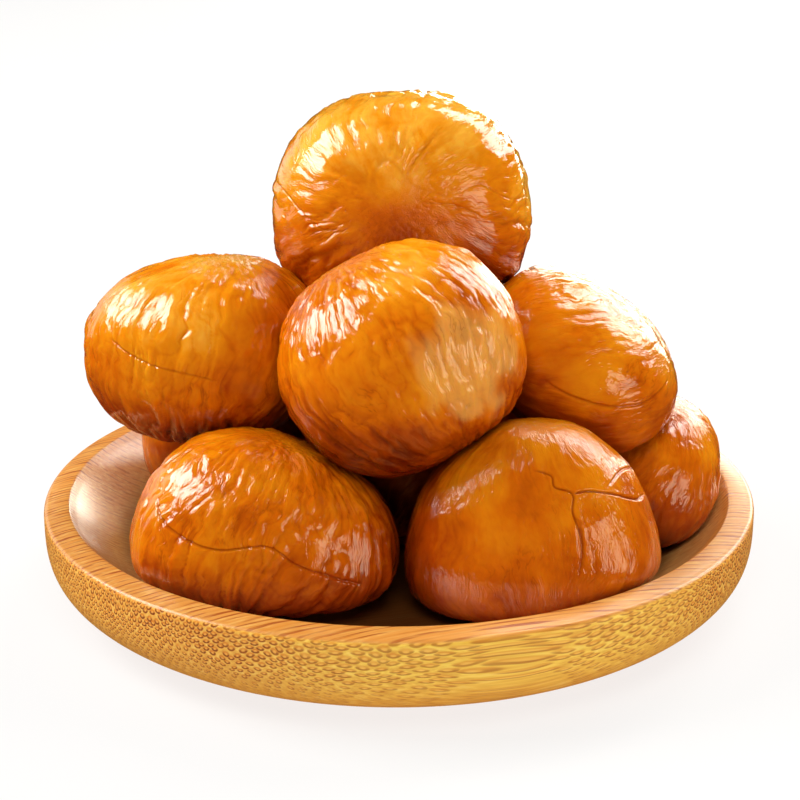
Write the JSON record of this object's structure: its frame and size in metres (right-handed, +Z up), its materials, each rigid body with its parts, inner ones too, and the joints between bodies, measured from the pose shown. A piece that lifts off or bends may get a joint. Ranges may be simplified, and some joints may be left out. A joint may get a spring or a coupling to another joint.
{
  "type": "dish of roasted chestnuts",
  "caption": "Peeled, glossy roasted chestnuts heaped on a shallow round bamboo dish with a flat rim.",
  "frame": {"origin": "middle of the dish's flat base, on the surface that the dish stands on", "axes": "+Z up along the dish's axis, -Y towards the front of the heap, +X to the right seen from there"},
  "size_m": [0.09, 0.09, 0.0622],
  "materials": {
    "bamboo": "turned bamboo, oiled satin, fibre ends showing as small dark dots on the wall",
    "kernel": "amber roasted kernel with a sugar gloss, fine wrinkles and a few cracks; stands in for food"
  },
  "bodies": {
    "root": {"bamboo_dish": "bamboo", "chestnut_top": "kernel", "chestnut_middle_front": "kernel", "chestnut_middle_left": "kernel", "chestnut_middle_right": "kernel", "chestnut_middle_back": "kernel", "chestnut_front_left": "kernel", "chestnut_front_right": "kernel", "chestnut_low_right": "kernel", "chestnut_low_left": "kernel", "chestnut_low_middle": "kernel", "chestnut_back_left": "kernel", "chestnut_back_right": "kernel"}
  },
  "joints": []
}
